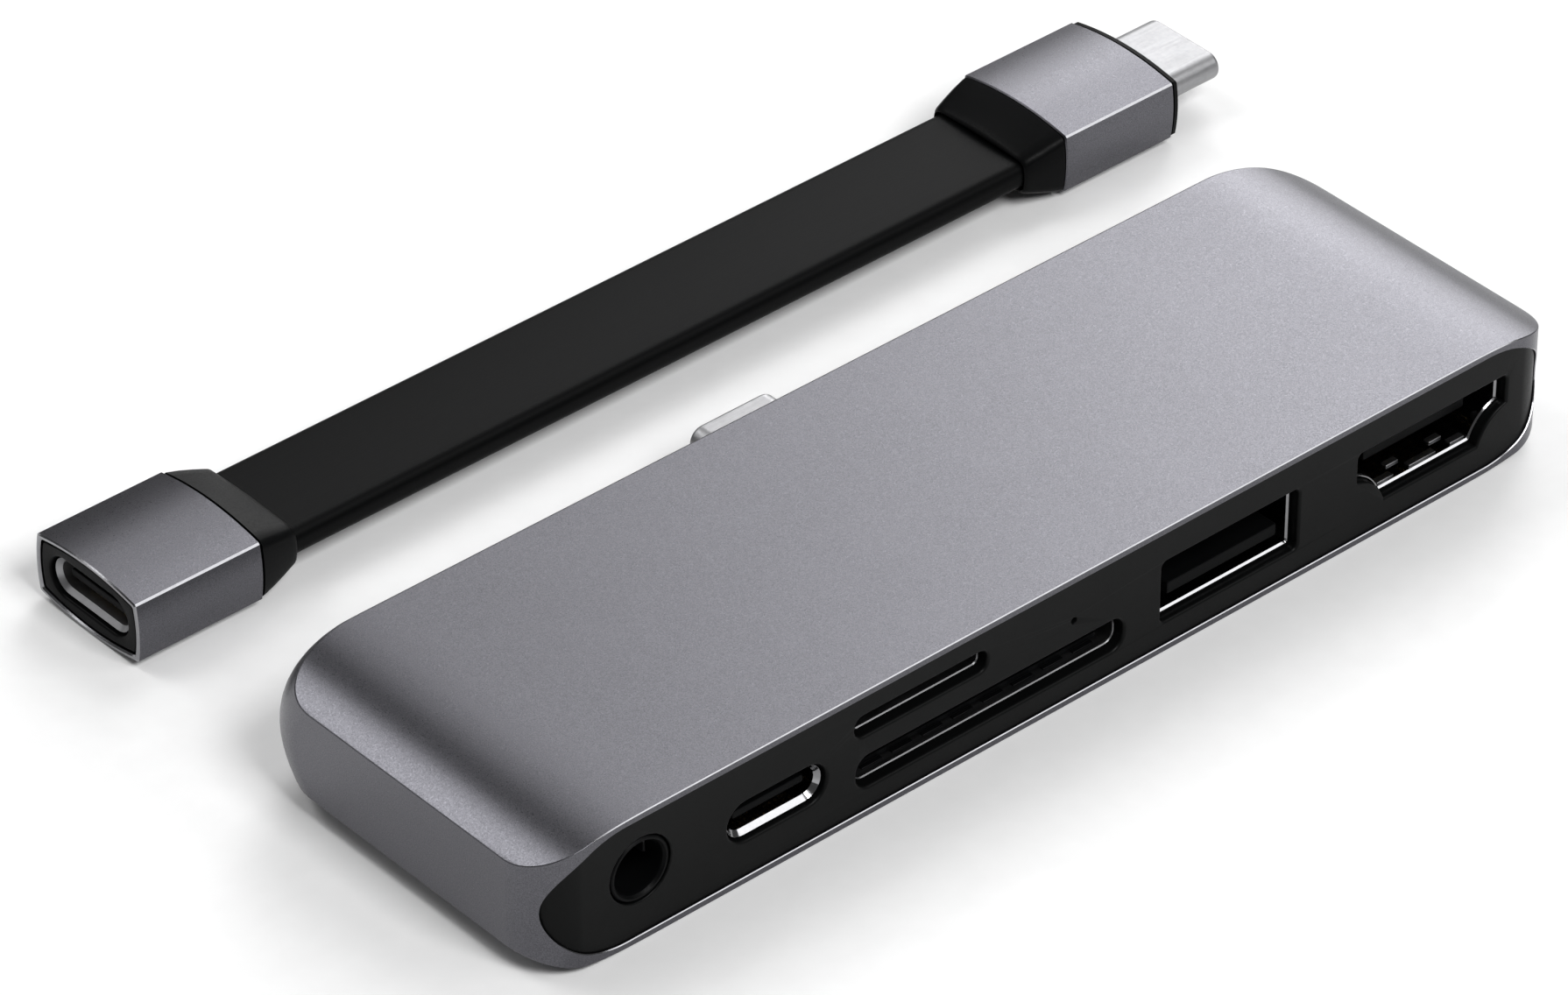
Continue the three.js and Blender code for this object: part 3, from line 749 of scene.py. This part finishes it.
def make_panel():
    """The panel, with a soft lip round each port."""
    soup = Soup()
    # The lip's rings, each as how much wider than the hole it is and how deep it stands.
    lip = ((0.26, 0.0), (0.17, 0.02), (0.08, 0.08), (0.02, 0.17), (0.0, 0.3))
    bevel = 0.03
    back = PANEL.high.y
    front_holes, back_holes = [], []
    for port, outline in OUTLINES.items():
        soft = {"light": 0.3, "jack": 0.5}.get(port, 1)      # the two round holes have smaller lips
        rings = [
            [(x, panel_front(x) + depth * soft, z) for x, z in outline(-GAP - grow * soft)]
            for grow, depth in lip]
        rings.append([(x, back, z) for x, z in outline(-GAP)])
        soup.grid(rings, wrap=True)
        front_holes.append(outline(-GAP - lip[0][0] * soft))
        back_holes.append(outline(-GAP))
    rim = panel_outline(PANEL_FIT - bevel)
    side = panel_outline(PANEL_FIT)
    soup.grid([
        [(x, panel_front(x), z) for x, z in rim],
        [(x, panel_front(x) + bevel, z) for x, z in side],
        [(x, back, z) for x, z in side]], wrap=True)
    ties = [
        (i, j) for i, j in ((i, opposite(i)) for i in range(len(rim)))
        if i < j and abs(rim[i][0]) > HALF - FRONT_CORNER]
    soup.fill(rim, front_holes, lambda x, z: (x, panel_front(x), z), ties=ties)
    soup.fill(side, back_holes, lambda x, z: (x, back, z))
    make_piece("front_panel_detail", soup, ["panel"], "hub", ["front_panel"])


# ---- the ports ----

SHEET = 0.3                       # folded steel
CARD_SHEET = 0.2                  # the thinner steel of the card sockets
USB_C_WALL = 0.42
FLAT = 0.12                       # flat part of a shell's mouth
THIN_FLAT = 0.01
BAR_BEVEL = 0.03
PADS = 12                         # contacts on each side of a USB-C tongue
PAD_PITCH = 0.5


def socket_shell(name, node, outline, wall=SHEET, flat=FLAT, outside=0.04, finish="bright_steel",
                 place=along_y, body="hub", axis=1):
    """A folded steel shell. Its mouth is eased outside, then flat, then slopes in at 45 degrees."""
    port = span(node)
    front, back = port.low[axis], port.high[axis]
    soup = Soup()
    soup.sweep(outline, [
        (0, back), (0, front + outside), (outside, front), (outside + flat, front),
        (wall, front + wall - outside - flat), (wall, back)], place)
    make_piece(name, soup, [finish], body, [node], crease=20)


def tongue(name, node, plate, core, place=along_y, body="hub"):
    """A plastic core across the back of a port, with a tongue that stands out of it."""
    soup = Soup()
    outline, front, back = plate
    profile = [(0.16, front), (0.05, front + 0.05), (0, front + 0.16), (0, back)]
    soup.sweep(outline, profile, place, wrap=False)
    outline, front, back = core
    soup.sweep(outline, [(0.1, front), (0, front + 0.1), (0, back)], place, wrap=False)
    make_piece(name, soup, ["black_plastic"], body, [node])


def bars(name, finish, boxes):
    """Small contacts or springs, one closed bar for each box of low and high corners."""
    soup = Soup()
    for (x0, y0, z0), (x1, y1, z1) in boxes:
        middle = ((x0 + x1) / 2, (y0 + y1) / 2)
        size = (x1 - x0, y1 - y0)
        outline = lambda inset: rounded(*middle, *size, BAR_BEVEL * 2, inset, 2)
        profile = [(BAR_BEVEL, z0), (0, z0 + BAR_BEVEL), (0, z1 - BAR_BEVEL), (BAR_BEVEL, z1)]
        soup.sweep(outline, profile, lambda u, v, depth: (u, v, depth), wrap=False)
    make_piece(name, soup, [finish], "hub")


def spaced(middle, pitch, count):
    """Evenly pitched places on both sides of a middle."""
    return [middle + (i - (count - 1) / 2) * pitch for i in range(count)]


def row(places, half, front, back, low, high):
    """Boxes that differ only in x. half is half the width of each."""
    return [((x - half, front, low), (x + half, back, high)) for x in places]


def usb_c_pads(name, body, place, centre, level, profile):
    """A row of contacts above the middle and one below it."""
    soup = Soup()
    for u in spaced(centre[0], PAD_PITCH, PADS):
        for v in (centre[1] - level, centre[1] + level):
            pad = lambda inset: rounded(u, v, 0.26, 0.08, 0.03, inset, 1)
            soup.sweep(pad, profile, place, wrap=False)
    make_piece(name, soup, ["gold"], body)


def make_shells():
    """The steel shells of the USB-A, HDMI, USB-C, SD and microSD ports."""
    socket_shell("usb_a_shell_detail", "usb_a_shell", OUTLINES["usb_a"])
    socket_shell("hdmi_shell_detail", "hdmi_shell", hdmi_outline)
    socket_shell("usb_c_shell_detail", "usb_c_socket_shell", OUTLINES["usb_c"], USB_C_WALL, THIN_FLAT)
    cards = (
        ("sd_cover_detail", "sd_socket_cover", "sd"),
        ("microsd_cover_detail", "microsd_socket_cover", "micro_sd"))
    # The card covers take the darker steel, which is painted shade for the shade inside their slots.
    for name, node, port in cards:
        socket_shell(name, node, OUTLINES[port], CARD_SHEET, THIN_FLAT, 0.11, "spring_steel")


def make_usb_a():
    """The tongue of the USB-A port, low in its mouth, with four contacts on top."""
    bar = span("usb_a_tongue")
    mouth, back = USB_A.low.y, bar.high.y
    plate_z, plate_height = USB_A.mid.z - 0.75, 1.1
    plate = lambda inset: rounded(USB_A.mid.x, plate_z, 11.1, plate_height, 0.2, inset, 3)
    core = lambda inset: rounded(USB_A.mid.x, USB_A.mid.z, bar.size.x, bar.size.z, 0.2, inset, 3)
    tongue("usb_a_tongue_detail", "usb_a_tongue", (plate, bar.low.y, back - 1), (core, back - 2.85, back))
    top = plate_z + plate_height / 2
    places = spaced(USB_A.mid.x, 2.25, 4)
    bars("usb_a_contacts", "gold", row(places, 0.5, mouth + 4.5, back - 3, top, top + 0.09))


def make_hdmi():
    """The tongue of the HDMI port, with its contacts underneath, and the springs of its shell."""
    bar = span("hdmi_tongue")
    mouth, back = HDMI.low.y, bar.high.y
    plate_z, plate_height = HDMI.mid.z + 0.3, 0.95
    plate = lambda inset: rounded(HDMI.mid.x, plate_z, 10.6, plate_height, 0.2, inset, 3)
    core = lambda inset: hdmi_outline(SHEET + GAP + inset, 3)
    tongue("hdmi_tongue_detail", "hdmi_tongue", (plate, bar.low.y, back - 1), (core, back - 2.35, back))
    under = plate_z - plate_height / 2
    places = spaced(HDMI.mid.x, 1, 9)
    bars("hdmi_contacts", "gold", row(places, 0.2, mouth + 1.9, back - 3, under - 0.08, under))

    # Leaf springs on the floor of the shell: three near the mouth and two behind them.
    floor = HDMI.low.z + SHEET
    front_row = ((-3.7, 0.85), (0.2, 1.4), (3.85, 0.75))
    back_row = ((-1.9, 0.65), (2.6, 0.65))
    springs = []
    for start, leaves in ((mouth + 0.3, front_row), (mouth + 1.4, back_row)):
        for x, half in leaves:
            springs += row([HDMI.mid.x + x], half, start, start + 0.6, floor, floor + 0.16)
    bars("hdmi_springs", "spring_steel", springs)


def make_sd():
    """The ribs and contacts on the floor of the SD slot."""
    mouth, floor = SD.low.y, SD.low.z + CARD_SHEET
    comb = spaced(SD.mid.x, 2.93, 8)
    bars("sd_contact_comb", "black_plastic", row(comb, 1, mouth + 0.6, mouth + 1, floor, floor + 0.1))
    contacts = spaced(SD.mid.x, 2.5, 9)
    bars("sd_contacts", "gold", row(contacts, 0.6, mouth + 3, mouth + 14, floor + 0.5, floor + 0.6))


def usb_c_tongue(name, node, port, place, body, front, back, core_front):
    """The tongue, core and contacts of a USB-C socket."""
    width = port.size.x if place is along_y else port.size.y
    centre = (port.mid.x, port.mid.z) if place is along_y else (port.mid.y, port.mid.z)
    inside_by = SHEET + GAP
    plate = lambda inset: rounded(*centre, 6.7, 0.7, 0.25, inset, 3)
    core = lambda inset: rounded(
        *centre, width - 2 * inside_by, port.size.z - 2 * inside_by, port.size.z / 2 - inside_by, inset)
    tongue(name + "_detail", node, (plate, front, back - 0.5), (core, core_front, back), place, body)
    profile = [(0.02, front + 0.55), (0, front + 0.6), (0, core_front), (0.02, core_front + 0.05)]
    usb_c_pads(name + "_contacts", body, place, centre, 0.35, profile)


def make_jack():
    """The ring round the jack, and two leaf springs in its bore."""
    front, back = JACK.low.y, JACK.high.y
    radius, wall = JACK.size.x / 2, 0.5
    ring = lambda inset: rounded(JACK.mid.x, JACK.mid.z, JACK.size.x, JACK.size.z, radius, inset, 12)
    soup = Soup()
    soup.sweep(ring, [
        (0, back), (0, front + 0.1), (0.1, front), (0.26, front),
        (0.42, front + 0.22), (wall, front + 0.5), (wall, back)], along_y)
    make_piece("jack_ring_detail", soup, ["black_plastic"], "hub", ["audio_jack_ring"], crease=20)
    springs = Soup()
    for side, depth in ((1, 1.8), (-1, 2.4)):
        x = JACK.mid.x + side * (radius - wall - 0.25)
        leaf = lambda inset: rounded(x, JACK.mid.z, 0.3, 1.2, 0.12, inset, 2)
        profile = [(0.1, front + depth), (0, front + depth + 0.15), (0, back - 0.1)]
        springs.sweep(leaf, profile, along_y, wrap=False)
    make_piece("jack_springs", springs, ["spring_steel"], "hub")


# ---- the plugs ----

PLUG_WALL = 0.3
PLUG_STEPS = 10                   # faces in each quarter of a plug's round ends
MOUTH = (6.7, 0.8, 0.2)           # width, height and corner of the slot in the insert
MOUTH_DEPTH = 4.7


def make_plug(name, shell_node, insert_node, place, body, axis):
    """A drawn steel plug with a rolled tip, and the black insert and contacts inside it."""
    shell, insert = span(shell_node), span(insert_node)
    across = 1 - axis
    centre = (shell.mid[across], shell.mid.z)
    width, height = shell.size[across], shell.size.z
    outline = lambda inset: rounded(*centre, width, height, height / 2, inset, PLUG_STEPS)
    root, tip = shell.low[axis], shell.high[axis]
    soup = Soup()
    soup.sweep(outline, [
        (0, root), (0, tip - 0.3), (0.03, tip - 0.14), (0.09, tip - 0.04), (0.17, tip),
        (0.26, tip - 0.05), (PLUG_WALL, tip - 0.2), (PLUG_WALL, root)], place)
    make_piece(name + "_shell_detail", soup, ["plug_steel"], body, [shell_node], crease=40)

    width, height = insert.size[across], insert.size.z
    core = lambda inset: rounded(*centre, width, height, height / 2, inset, PLUG_STEPS)
    mouth = rounded(*centre, *MOUTH, 0, PLUG_STEPS)
    end = insert.high[axis]
    outlines = [
        (core(0), insert.low[axis]), (core(0), end - 0.1), (core(0.1), end),
        (mouth, end), (mouth, end - MOUTH_DEPTH)]
    soup = Soup()
    soup.tube([[place(u, v, depth) for u, v in points] for points, depth in outlines])
    make_piece(name + "_insert_detail", soup, ["black_plastic"], body, [insert_node])
    profile = [(0.02, end - 4), (0, end - 3.9), (0, end - 1), (0.02, end - 0.9)]
    usb_c_pads(name + "_contacts", body, place, centre, 0.36, profile)


# ---- the lead ----

SOCKET_SLEEVE = span("lead_socket_sleeve")
PLUG_SLEEVE = span("lead_plug_sleeve")
CABLE = span("lead_cable")
SLEEVE_CORNER = (5.9, 2.6)        # from the middle of the lead to a corner of a sleeve
SLEEVE_MID = (SOCKET_SLEEVE.size.y / 2, SOCKET_SLEEVE.size.z / 2)
SLEEVE_WALL = 0.4
LEAD_MID = (SOCKET_SLEEVE.mid.y, SOCKET_SLEEVE.mid.z)
SIDE_STEPS = 12
SLEEVE_CUT = 0.12                 # length taken off each side by a cut corner
BOOT_CUT = 0.3


def crowned(corner_y, corner_z, mid_y, mid_z, cut=SLEEVE_CUT):
    """Four gently crowned sides, with their corners cut. Each side has SIDE_STEPS + 1 points."""
    outline = []
    corners = [(-corner_y, -corner_z), (corner_y, -corner_z), (corner_y, corner_z), (-corner_y, corner_z)]
    bow_y, bow_z = 2 * mid_y - corner_y, 2 * mid_z - corner_z
    bows = [(0, -bow_z), (bow_y, 0), (0, bow_z), (-bow_y, 0)]
    for i, bow in enumerate(bows):
        start, end = corners[i], corners[(i + 1) % 4]
        length = math.dist(start, end)
        for t in steps(cut / length, 1 - cut / length, SIDE_STEPS):
            outline.append(tuple(
                LEAD_MID[axis] + (1 - t) ** 2 * start[axis] + 2 * t * (1 - t) * bow[axis] + t * t * end[axis]
                for axis in (0, 1)))
    return outline


def sleeve_outline(inset):
    """The outside of a sleeve, drawn in on all sides by inset."""
    return crowned(*(reach - inset for reach in (*SLEEVE_CORNER, *SLEEVE_MID)))


def corner_face(i):
    """Bright on the cut corners, which are the faces after each side's last point."""
    return 1 if i % (SIDE_STEPS + 1) == SIDE_STEPS else 0


def at_x(outline, x):
    """An outline across the lead, set at x."""
    return [along_x(u, v, x) for u, v in outline]


def oval(port):
    """The outline of a USB-C shell that points along X, as a function of inset."""
    return lambda inset: rounded(
        port.mid.y, port.mid.z, port.size.y, port.size.z, port.size.z / 2, inset, 8)


def make_sleeve(name, node, body, bright_ends):
    """An open sleeve with bright corners. bright_ends lists the x of each end that is bright too."""
    sleeve = span(node)
    low, high = sleeve.low.x, sleeve.high.x
    outer, inner = 0.1, 0.12      # cut edges outside and inside each end
    soup = Soup()
    lengths = steps(low + outer, high - outer, 4)
    soup.grid([at_x(sleeve_outline(0), x) for x in lengths], corner_face, wrap=True)
    for end, sign in ((low, 1), (high, -1)):
        profile = [
            (0, end + sign * outer), (outer, end),
            (SLEEVE_WALL - inner, end), (SLEEVE_WALL, end + sign * inner)]
        rings = [at_x(sleeve_outline(inset), x) for inset, x in profile]
        soup.grid(rings, 1 if end in bright_ends else 0, wrap=True)
    bore = sleeve_outline(SLEEVE_WALL)
    soup.grid([at_x(bore, low + inner), at_x(bore, high - inner)], wrap=True)
    make_piece(name, soup, ["aluminium", "cut_edge"], body, [node], crease=25)


def make_boot(name, node, body, out):
    """A tapered boot. out is +1 where it narrows towards +X."""
    boot = span(node)
    wide, tip = (boot.low.x, boot.high.x) if out > 0 else (boot.high.x, boot.low.x)
    length = abs(tip - wide)
    full = [reach - 0.05 for reach in (*SLEEVE_CORNER, *SLEEVE_MID)]
    small = (5.2, 1.6, 5.45, 1.85)
    # How far along the boot each ring stands, and its share of the way from full to small.
    stages = ((0, 0), (0.3, 0.26), (0.6, 0.58), (0.82, 0.84), (0.93, 0.98), (0.98, 1.1), (1, 1.22))
    rings = []
    for along, share in stages:
        reaches = [a + (b - a) * share for a, b in zip(full, small)]
        rings.append(at_x(crowned(*reaches, BOOT_CUT), wide + out * length * along))
    recess = crowned(5.12, 1.28, 5.3, 1.42, BOOT_CUT)
    rings += [at_x(recess, tip - out * depth) for depth in (0.05, 1.1)]
    soup = Soup()
    soup.tube(rings)
    make_piece(name, soup, ["black_plastic"], body, [node], crease=38)


def make_socket_face():
    """The black face of the lead's socket, with the shell and the tongue that it holds."""
    face, socket = span("lead_socket_face"), span("lead_socket_shell")
    hole = oval(socket)
    front, back = face.low.x, face.high.x
    inner, bevel = SLEEVE_WALL + GAP, 0.06
    rim = at_x(sleeve_outline(inner), front + bevel)
    soup = Soup()
    soup.grid([rim, at_x(sleeve_outline(inner), back)], wrap=True)
    soup.grid([at_x(sleeve_outline(inner + bevel), front), rim], wrap=True)
    lip = ((0.22, 0.0), (0.12, 0.03), (0.04, 0.1), (0.0, 0.22))
    rings = [at_x(hole(-GAP - grow), front + depth) for grow, depth in lip]
    rings.append(at_x(hole(-GAP), back))
    soup.grid(rings, wrap=True)
    soup.fill(sleeve_outline(inner + bevel), [hole(-GAP - lip[0][0])], lambda u, v: (front, u, v))
    soup.fill(sleeve_outline(inner), [hole(-GAP)], lambda u, v: (back, u, v))
    make_piece("socket_face_detail", soup, ["black_plastic"], "lead_socket_end", ["lead_socket_face"])
    socket_shell("lead_socket_shell_detail", "lead_socket_shell", hole, USB_C_WALL, THIN_FLAT,
                 finish="plug_steel", place=along_x, body="lead_socket_end", axis=0)
    usb_c_tongue("lead_socket_tongue", "lead_socket_tongue", socket, along_x, "lead_socket_end",
                 front + 0.95, socket.high.x - 0.1, socket.high.x - 1.9)


def make_end_cap():
    """The black cap round the lead's plug, with a neck that sits inside the sleeve."""
    cap = span("lead_plug_end_cap")
    hole = oval(span("lead_plug_shell"))(-GAP)
    back, front = cap.low.x, cap.high.x
    shoulder = PLUG_SLEEVE.high.x + GAP
    neck, flush, bevel = SLEEVE_WALL + GAP, 0.1, 0.06
    stages = [
        (neck, back), (neck, shoulder), (flush, shoulder),
        (flush, front - bevel), (flush + bevel, front)]
    soup = Soup()
    soup.grid([at_x(sleeve_outline(inset), x) for inset, x in stages], wrap=True)
    soup.grid([at_x(hole, front), at_x(hole, back)], wrap=True)
    soup.fill(sleeve_outline(flush + bevel), [hole], lambda u, v: (front, u, v))
    soup.fill(sleeve_outline(neck), [hole], lambda u, v: (back, u, v))
    make_piece("plug_end_cap_detail", soup, ["black_plastic"], "lead_plug_end", ["lead_plug_end_cap"])


def make_lead():
    """The cord and the pieces at its ends."""
    make_sleeve("socket_sleeve_detail", "lead_socket_sleeve", "lead_socket_end", [SOCKET_SLEEVE.low.x])
    make_sleeve("plug_sleeve_detail", "lead_plug_sleeve", "lead_plug_end", [])
    make_boot("socket_boot_detail", "lead_socket_boot", "lead_socket_end", 1)
    make_boot("plug_boot_detail", "lead_plug_boot", "lead_plug_end", -1)
    make_socket_face()
    make_end_cap()
    make_plug("lead_plug", "lead_plug_shell", "lead_plug_insert", along_x, "lead_plug_end", 0)

    tuck = 0.9                    # how far the cable runs into each boot
    low, high = CABLE.low.x - tuck, CABLE.high.x + tuck
    outline = rounded(*LEAD_MID, CABLE.size.y, CABLE.size.z, 0.95, 0, 7)
    soup = Soup()
    soup.tube([at_x(outline, x) for x in steps(low, high, 96)])
    cable = make_piece("lead_cable_detail", soup, ["cable_jacket"], None, ["lead_cable"])
    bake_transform(cable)
    route = [(x * MM, LEAD_MID[0] * MM, LEAD_MID[1] * MM) for x in steps(low, high, 24)]


make_lead()
make_shell()
make_panel()
make_shells()
make_usb_a()
make_hdmi()
make_sd()
usb_c_tongue("usb_c_tongue", "usb_c_socket_tongue", USB_C, along_y, "hub",
             USB_C.low.y + 0.6, USB_C.high.y - GAP, USB_C.high.y - 1.8)
make_jack()
make_plug("hub_plug", "hub_plug_shell", "hub_plug_insert", along_y, "hub", 1)


# ---- the CAD nodes that stay ----

def finish_nodes():
    """Gives every CAD node the procedural finish of its material slot."""
    slots = {part["node"]: part["material_slot"] for part in frame["record"]["subparts"]}
    for name, node in frame["nodes"].items():
        node.data.materials.clear()
        node.data.materials.append(FINISH[slots[name]])


finish_nodes()


# ---- floor and lights ----

FLOOR_HALF = 3000
FLOOR_TOP = -0.02
LIGHT_DISTANCE = 1.2              # metres, as are the sizes of the lights


def make_floor():
    """A pale floor, just under the hub."""
    places = steps(-FLOOR_HALF, FLOOR_HALF, 4)
    soup = Soup()
    soup.grid([[(x, y, FLOOR_TOP) for x in places] for y in places])
    mesh = bpy.data.meshes.new("floor")
    mesh.from_pydata([[c * MM for c in point] for point in soup.points], [], soup.faces)
    mesh.materials.append(pale_floor("pale_floor"))
    floor = bpy.data.objects.new("floor", mesh)
    bpy.context.scene.collection.objects.link(floor)


def softbox(name, azimuth, elevation, width, height, strength):
    """A soft light that faces the object. Azimuth is measured from +X towards +Y."""
    turn, rise = math.radians(azimuth), math.radians(elevation)
    out = Vector((math.cos(turn) * math.cos(rise), math.sin(turn) * math.cos(rise), math.sin(rise)))
    data = bpy.data.lights.new(name, "AREA")
    data.shape = "RECTANGLE"
    data.size, data.size_y = width, height
    data.energy = strength * math.pi * width * height
    light = bpy.data.objects.new(name, data)
    light.location = out * LIGHT_DISTANCE
    light.rotation_mode = "QUATERNION"
    light.rotation_quaternion = (-out).to_track_quat("-Z", "Y")
    bpy.context.scene.collection.objects.link(light)


def make_world(strength):
    """Even white light from all round."""
    world = bpy.data.worlds.new("studio")
    world.use_nodes = True
    background = world.node_tree.nodes["Background"]
    background.inputs["Color"].default_value = (1, 1, 1, 1)
    background.inputs["Strength"].default_value = strength
    bpy.context.scene.world = world


make_floor()
softbox("key_low", 38, 14, 0.4, 0.3, 2.8)
softbox("key", 35, 30, 0.4, 0.4, 5.0)
softbox("key_high", 35, 52, 0.4, 0.4, 2.5)
softbox("key_right", 20, 45, 0.5, 0.5, 2.5)
softbox("key_left", 48, 28, 0.3, 0.3, 2.6)
softbox("key_edge", 57, 42, 0.3, 0.3, 1.5)
softbox("rear_left", 112, 50, 0.4, 0.5, 5.2)
softbox("rear_lip", 134, 32, 0.25, 0.2, 4.0)
softbox("front", -90, 50, 0.5, 0.5, 13.0)
softbox("front_right", -48, 37, 0.5, 0.4, 3.0)
make_world(0.12)
bpy.context.scene.view_settings.view_transform = "Standard"
